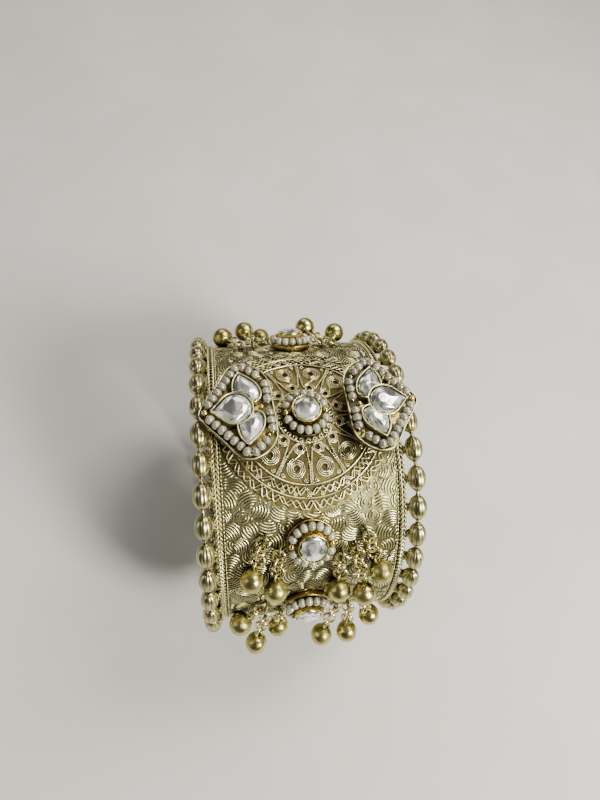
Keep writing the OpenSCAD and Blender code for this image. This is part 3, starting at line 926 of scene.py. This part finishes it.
# Half a pointed arch: radius, degrees from its tip
ARCH = [(12.95, 14.0), (11.4, 14.2), (9.6, 13.9), (8.0, 12.2), (6.9, 10.6), (6.15, 6.5), (5.9, 0.0)]
# Zigzag wires: phase, wire, size
ZIGZAG_R = 14.2
ZIGZAGS = 36
ZIGZAG_WIRES = [(0.0, 0.15, 0.88), (2.2, 0.12, 0.8)]
# Looped outer wires: phase, wire, size, lift
LOOPS_R = 16.35
LOOPS = 40
LOOPED_WIRES = [(0.0, 0.14, 0.66, 0), (np.pi, 0.12, 0.58, 0.06)]


def round_wire(shape, reach, a, wire, lift):
    """A closed wire round the medallion, at a reach for each angle."""
    flat_wire(shape, reach * np.cos(a), reach * np.sin(a), wire, closed=True, lift=lift)


def coil_pair(shape, middle, hand):
    """A large coil and a small one. Their loose ends meet in one line between them."""
    spiral(shape, SPIRAL_OUT_R, middle, 0.62, LARGE_COIL, 3.4, COIL_WIRE, 200, hand)
    spiral(shape, SPIRAL_IN_R, middle, 0.5, SMALL_COIL, 2.3, COIL_WIRE, 20, -hand)
    across = np.array(polar(1.0, middle + 90)) * hand
    start = np.array(polar(SPIRAL_OUT_R, middle)) + across * LARGE_COIL
    end = np.array(polar(SPIRAL_IN_R, middle)) - across * SMALL_COIL
    f = np.linspace(0, 1, 8)[:, None]
    flat_wire(shape, *(start * (1 - f) + end * f).T, COIL_WIRE, sides=5)


def outer_wires(shape):
    """Zigzag wires with a small curl in each outer bay, and two looped waves that cross each other."""
    a = np.radians(np.arange(0, 360, 1.0))
    for phase, wire, size in ZIGZAG_WIRES:
        wander = 0.8 * np.sin(7 * a) + 0.6 * np.sin(11 * a + 1 + phase)
        wave = np.arcsin(0.97 * np.sin(ZIGZAGS * a + phase + wander)) / (np.pi / 2)
        reach = ZIGZAG_R + size * wave * (0.88 + 0.12 * np.sin(13 * a + 2 * phase))
        round_wire(shape, reach, a, wire, 0.05 + 0.04 * phase)
    for k in range(ZIGZAGS):
        spiral(shape, BAY_R, (k - 0.25) * 360 / ZIGZAGS, 0.14, 0.4, 1.5, 0.1, 90, 1)
    a = np.radians(np.arange(0, 360, 0.75))
    for phase, wire, size, lift in LOOPED_WIRES:
        ripple = np.sin(LOOPS * a + phase + 0.7 * np.sin(9 * a + phase)) * (1 + 0.25 * np.sin(11 * a))
        round_wire(shape, LOOPS_R + size * ripple + 0.12 * np.sin(7 * a), a, wire, lift)


def filigree():
    shape = Shape(on_medallion)
    pierced_sheet(shape)
    for radius, wire, lift in PLAIN_RINGS:
        round_wire(shape, radius, np.radians(np.arange(0, 360, 1.8)), wire, lift)
    a = np.radians(np.arange(0, 360, 1.2))
    flat_twist(shape, CENTRE_ROPE_R * np.cos(a), CENTRE_ROPE_R * np.sin(a), 0.13, 44, closed=True)
    for k in range(CENTRE_LOOPS):
        spiral(shape, CENTRE_LOOP_R, 360 * k / CENTRE_LOOPS, 0.2, 0.46, 1.3, 0.13, 180, 1)
    for i in range(SPIRAL_PAIRS):
        middle = (i + 0.5) * 360 / SPIRAL_PAIRS
        coil_pair(shape, middle, 1 if i % 2 else -1)
        for s in (-1, 1):
            spiral(shape, CURL_R, middle + s * 10.3, 0.1, 0.42, 1.4, 0.11, -90 * s, -s)
        for s in (-1, 1):
            curve = smooth_line([polar(radius, middle + s * d) for radius, d in ARCH], 10)
            flat_twist(shape, *curve.T, 0.11, 11)
    outer_wires(shape)
    finishes = [wire_brass, ground_brass, patina_and_shade]
    shape.make("filigree_wirework", finishes, ["filigree_medallion"])


# Round settings

PLEATS = 28
# Gold balls and their posts, and the wire that pearls are threaded on
GOLD_BALL_R = 0.62
GOLD_POST_R = 0.3
THREAD_R = 0.12


def pleats(turn, rows):
    return 1 + 0.06 * (np.abs(np.sin(turn * PLEATS / 2)) - 0.5) * np.ones_like(rows[:, :1])


def round_mount(name, spot, node):
    """Dish, pleated collet with a bright lip, pearl wire and two gold balls."""
    shape = Shape(lambda p: at_round(p, spot))
    dish = [(0, 0), (DISH_FOOT_R, 0), (DISH_FOOT_R, 0.12), (DISH_R - 0.35, 0.5),
            (DISH_R - 0.05, DISH_LIP - 0.1), (DISH_R, DISH_LIP), (DISH_R - 0.12, DISH_LIP + 0.09),
            (DISH_R - 0.35, DISH_LIP), (DISH_R - 0.7, 0.75), (DISH_R - 1.1, DISH_FLOOR), (0, DISH_FLOOR)]
    points, faces = revolve(dish, 64)
    low = points[:, 2] == 0
    points[low, 2] = np.sqrt((BAND_R + GAP) ** 2 - points[low, 1] ** 2) - BAND_R
    shape.add((points, faces))
    collet = [(0, DISH_FLOOR - 0.05), (COLLET_R - 0.45, DISH_FLOOR - 0.05), (COLLET_R - 0.25, 1.7),
              (COLLET_R - 0.06, BEZEL_H - 0.5), (COLLET_R - 0.02, BEZEL_H - 0.35), (0, BEZEL_H - 0.35)]
    shape.add(revolve(collet, PLEATS * 4, pleats), 2)
    lip = [(GIRDLE_R + 0.02, BEZEL_H - 0.5), (COLLET_R + 0.02, BEZEL_H - 0.5),
           (COLLET_R + 0.06, BEZEL_H - 0.3), (COLLET_R + 0.02, BEZEL_H - 0.08), (COLLET_R - 0.08, BEZEL_H),
           (GIRDLE_R + 0.03, BEZEL_H - 0.06), (GIRDLE_R + 0.01, BEZEL_H - 0.2)]
    shape.add((revolve(lip, 56)[0], [grid(len(lip), 56, wrap_rows=True)]), 1)
    shape.add(shifted(hoop(PEARL_RING_R, THREAD_R, 48, 6), 0, 0, PEARL_H), 1)
    for k in GOLD_PLACES:
        x, y = polar(PEARL_RING_R, 360 * k / PEARL_PLACES)
        shape.add(shifted(ball(GOLD_BALL_R), x, y, PEARL_H), 1)
        shape.add(shifted(rod(GOLD_POST_R, 0.3, PEARL_H, 10), x, y, 0), 1)
    # The centre dish takes the dark medallion ground, partly painted shade, so it blends; the others are
    # amber.
    ground = ground_brass if name == "centre_mount" else amber
    shape.make(name, [ground, bright_gold, collet_gold], [node])


def gem(name, node, outline, n, plan, place):
    """A rose-cut stone. Its plan has rings of n points: turn in steps, share of the outline, height."""
    centre = outline.mean(0)
    levels = []
    for turn, share, z in plan:
        levels.append(at_height(centre + share * (resample(outline, n, turn) - centre), z))
    points = np.vstack(levels + [levels[0].mean(0), levels[-1].mean(0)])
    k = np.arange(n)
    last = (len(plan) - 1) * n
    faces = [fan(last + n, k), fan(last + n + 1, last + k)]
    for low in range(0, last, n):
        a, a2, b, b2 = low + k, low + (k + 1) % n, low + n + k, low + n + (k + 1) % n
        faces += [np.stack([a, a2, b], -1), np.stack([a2, b2, b], -1)]
    shape = Shape(place)
    shape.add((points, faces), smooth=False)
    shape.make(name, [stone], [node])


def round_gem(name, spot, node):
    a = np.radians(np.arange(0, 360, 5))
    circle = GIRDLE_R * np.stack([np.cos(a), np.sin(a)], -1)
    plan = [(0.0, 0.35, 2.2), (0.5, 0.96, 3.3), (0.0, 1.0, 3.6), (0.5, 0.88, 4.03), (0.0, 0.64, 4.36),
            (0.5, 0.32, BEZEL_H + 0.75)]
    gem(name, node, circle, 10, plan, lambda p: at_round(p, spot))


def seed(shape, centre, along):
    """One seed pearl: a flattened ball, threaded along a direction."""
    points, faces = ball(PEARL_R * rng.uniform(0.97, 1.03), 16, 11, rng.uniform(0.80, 0.85), 0.7)
    along = unit(along)
    side = unit(np.cross(along, [0, 0, 1]))
    over = np.cross(side, along)
    turned = points[:, :1] * side + points[:, 1:2] * over + points[:, 2:] * along
    shape.add((turned + centre, faces))


def ring_pearls(name, spot, node):
    shape = Shape(lambda p: at_round(p, spot))
    for k in range(PEARL_PLACES):
        if k not in GOLD_PLACES:
            a = 2 * math.pi * k / PEARL_PLACES
            centre = (PEARL_RING_R * math.cos(a), PEARL_RING_R * math.sin(a), PEARL_H)
            seed(shape, centre, (-math.sin(a), math.cos(a), 0))
    shape.make(name, [pearl], [node])


# Lotus settings

def petal_outlines():
    """Anticlockwise outlines of the middle, upper and lower petal."""
    a = math.degrees(math.acos(PETAL_R / PETAL_TIP))
    middle = np.array([(PETAL_TIP, 0.0)] + [polar(PETAL_R, d) for d in np.linspace(a, 360 - a, 33)])
    back = [polar(PETAL_R - PETAL_LAP, d) for d in np.linspace(86, 167, 7)]
    upper = smooth_corners((PETAL_SIDE + back)[::-1])
    lower = (upper * [1, -1])[::-1]
    return {"middle": middle, "upper": upper, "lower": lower}


def smooth_corners(outline):
    """A finer outline that keeps its sharp corners and rounds the rest."""
    p = np.asarray(outline, float)
    before, after = unit(p - np.roll(p, 1, 0)), unit(np.roll(p, -1, 0) - p)
    sharp = (before * after).sum(1) < 0.6
    start = int(np.argmax(sharp))
    p, sharp = np.roll(p, -start, 0), np.roll(sharp, -start)
    corners = [k for k in range(len(p)) if sharp[k]] + [len(p)]
    p = np.vstack([p, p[:1]])
    return np.vstack([smooth_line(p[a:b + 1], 4)[:-1] for a, b in zip(corners, corners[1:])])


def wall(outline, profile):
    """A closed wall that follows an outline. Each profile row is (inset, height)."""
    rows = [at_height(inset(outline, d), z) for d, z in profile]
    return np.vstack(rows), [grid(len(rows), len(outline), wrap_rows=True)]


def pearl_rows():
    """First and last place, and count, of each row of seed pearls in a lotus."""
    for u0, v0, u1, v1, count in PEARL_ROWS:
        for flip in (-1, 1):
            yield *np.array([(u0, flip * v0, LOTUS_PEARL_Z), (u1, flip * v1, LOTUS_PEARL_Z)]), count


def lotus_mount(side):
    shape = Shape(lambda p: in_lotus(p, side))
    half = np.array(PLATE_HALF)
    outline = smooth_loop(np.vstack([half[::-1], (half * [1, -1])[1:-1]]), 6)
    n = len(outline)
    over = at_height(inset(outline, 0.1), PLATE_H)
    centres = [[0, 0, 0], [0, 0, PLATE_H]]
    points = np.vstack([at_height(outline, 0), over, centres])
    # The plate's side and underside and the rim wall take the dark ground finish: painted shade under the
    # bright top wire.
    shape.add((points, [grid(2, n), fan(2 * n, np.arange(n))]), 3, smooth=False)
    shape.add((np.vstack([over, centres[1:]]), [fan(n, np.arange(n))]), 1, smooth=False)
    top = PLATE_H + PLATE_RIM_H
    shape.add(wall(outline, [(0.03, 0.05), (0.03, top - 0.1), (0.22, top - 0.1), (0.25, PLATE_H)]), 3)
    shape.add(tube(at_height(inset(outline, 0.125), top - 0.12), 0.125, sides=8, closed=True))
    lip = PLATE_H + PETAL_H
    bezel = [(0.0, PLATE_H - 0.05), (0.0, lip - 0.2), (0.04, lip - 0.07), (0.13, lip),
             (0.23, lip - 0.04), (0.29, lip - 0.14), (BEZEL_W, PLATE_H)]
    for petal in petal_outlines().values():
        shape.add(wall(petal, bezel))
    for u, v, radius in LOTUS_BALLS:
        shape.add(shifted(ball(radius), u, v, PLATE_H + 0.6 + 0.7 * radius), 2)
        shape.add(shifted(rod(0.6 * radius, 0.2, 0.9, 8), u, v, 0), 2)
    for a, b, _ in pearl_rows():
        over_by = (PEARL_R + 0.12) * unit(b - a)
        shape.add(tube([a - over_by, a, b, b + over_by], THREAD_R), 2)
    foot = BAND_R - LOTUS_R + 0.3
    for u, v in POSTS:
        shape.add(shifted(rod(POST_R, foot, 0.1, 16), u, v, 0))
    shape.make(f"lotus_mount_{side}", [wire_brass, channel, bright_gold, ground_brass],
               [f"lotus_setting_{side}"])


def lotus_gems(side):
    lip = PLATE_H + PETAL_H
    plan = [(0.0, 0.5, PLATE_H + 0.1), (0.5, 1.0, PLATE_H + 0.9), (0.0, 1.0, PLATE_H + 1.3),
            (0.5, 0.88, lip + 0.1), (0.0, 0.64, lip + 0.43), (0.5, 0.32, lip + 0.65)]
    for petal, outline in petal_outlines().items():
        gem(f"lotus_gem_{side}_{petal}", f"lotus_stone_{side}_{petal}", inset(outline, BEZEL_W + 0.06),
            14 if petal == "middle" else 12, plan, lambda p: in_lotus(p, side))


def lotus_seeds(side):
    shape = Shape(lambda p: in_lotus(p, side))
    for a, b, count in pearl_rows():
        for f in np.linspace(0, 1, count):
            seed(shape, a + (b - a) * f, b - a)
    shape.make(f"lotus_seed_pearls_{side}", [grey_pearl], [f"lotus_pearls_{side}"])


def carried_over():
    """Finishes of the solids that stay as they are."""
    for name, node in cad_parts.items():
        finish = inner_brass if name == "band" else bell_gold if name.startswith("bell_") else link_gold
        node.data.materials.clear()
        node.data.materials.append(finish)


# Studio

FLOOR_HALF = 1.5
# Each light: name, place, width and height, power, colour
LIGHTS = [
    ("key", (0.24, -0.25, 0.28), (0.10, 0.16), 3.55, (1.0, 0.985, 0.86)),
    ("window", (0.25, 0.16, 0.46), (0.22, 0.22), 2.6, (1.0, 0.96, 0.86)),
    ("left_fill", (-0.42, -0.05, 0.26), (0.12, 0.36), 0.35, (0.92, 0.96, 1.0)),
    ("far_fill", (0.0, 0.45, 0.30), (0.40, 0.12), 0.75, (1.0, 0.93, 0.80))]


def studio():
    """Pale floor and soft lights."""
    floor_z = cad_box[0][2]
    mesh = bpy.data.meshes.new("floor")
    corners = [(x * FLOOR_HALF, y * FLOOR_HALF, floor_z) for x, y in ((-1, -1), (1, -1), (1, 1), (-1, 1))]
    mesh.from_pydata(corners, [], [(0, 1, 2, 3)])
    floor = new_object("floor", mesh)
    n = Nodes("pale_floor")
    colour = n.blend(n.ramp(n.noise(40.0), 0.4, 0.7), (0.62, 0.61, 0.59), (0.66, 0.65, 0.63))
    n.fill(n.shader, Base_Color=colour, Roughness=0.8)
    mesh.materials.append(n.material)

    world = bpy.data.worlds.new("studio")
    world.use_nodes = True
    background = world.node_tree.nodes["Background"]
    background.inputs["Color"].default_value = (0.9, 0.94, 1.0, 1.0)
    background.inputs["Strength"].default_value = 0.07
    bpy.context.scene.world = world
    for name, place, size, power, colour in LIGHTS:
        lamp = bpy.data.lights.new(name, "AREA")
        lamp.shape = "RECTANGLE"
        lamp.size, lamp.size_y = size
        lamp.energy = power
        lamp.color = colour
        light = new_object(name, lamp)
        light.location = place
        light.rotation_euler = (-Vector(place)).to_track_quat("-Z", "Y").to_euler()


def camera():
    """The photograph's viewpoint: above the bangle, a little to the left."""
    right = Vector((0.98653, -0.122557, 0.108335))
    up = Vector((0.05778, 0.880683, 0.470173))
    back = Vector((-0.15303, -0.457574, 0.875902))
    place = Vector((-15.94, -42.63, 119.76)) * MM
    data = bpy.data.cameras.new("camera")
    data.lens = 23.07
    data.sensor_width = 36
    data.clip_start = 0.005
    view = new_object("camera", data)
    view.matrix_world = Matrix.Translation(place) @ Matrix((right, up, back)).transposed().to_4x4()
    bpy.context.scene.camera = view


camera()
carried_over()
embossing()
edge_wires()
bead_rims()
filigree()
for setting, spot in (("centre", (0.0, MEDALLION_T)), *ROUND_PLACES.items()):
    label = "centre_{}" if setting == "centre" else "round_{}_" + setting
    round_mount(label.format("mount"), spot, label.format("setting"))
    round_gem(label.format("gem"), spot, label.format("stone"))
    ring_pearls(label.format("seed_pearls"), spot, label.format("pearls"))
for lotus in LOTUS_PLACES:
    lotus_mount(lotus)
    lotus_gems(lotus)
    lotus_seeds(lotus)
studio()
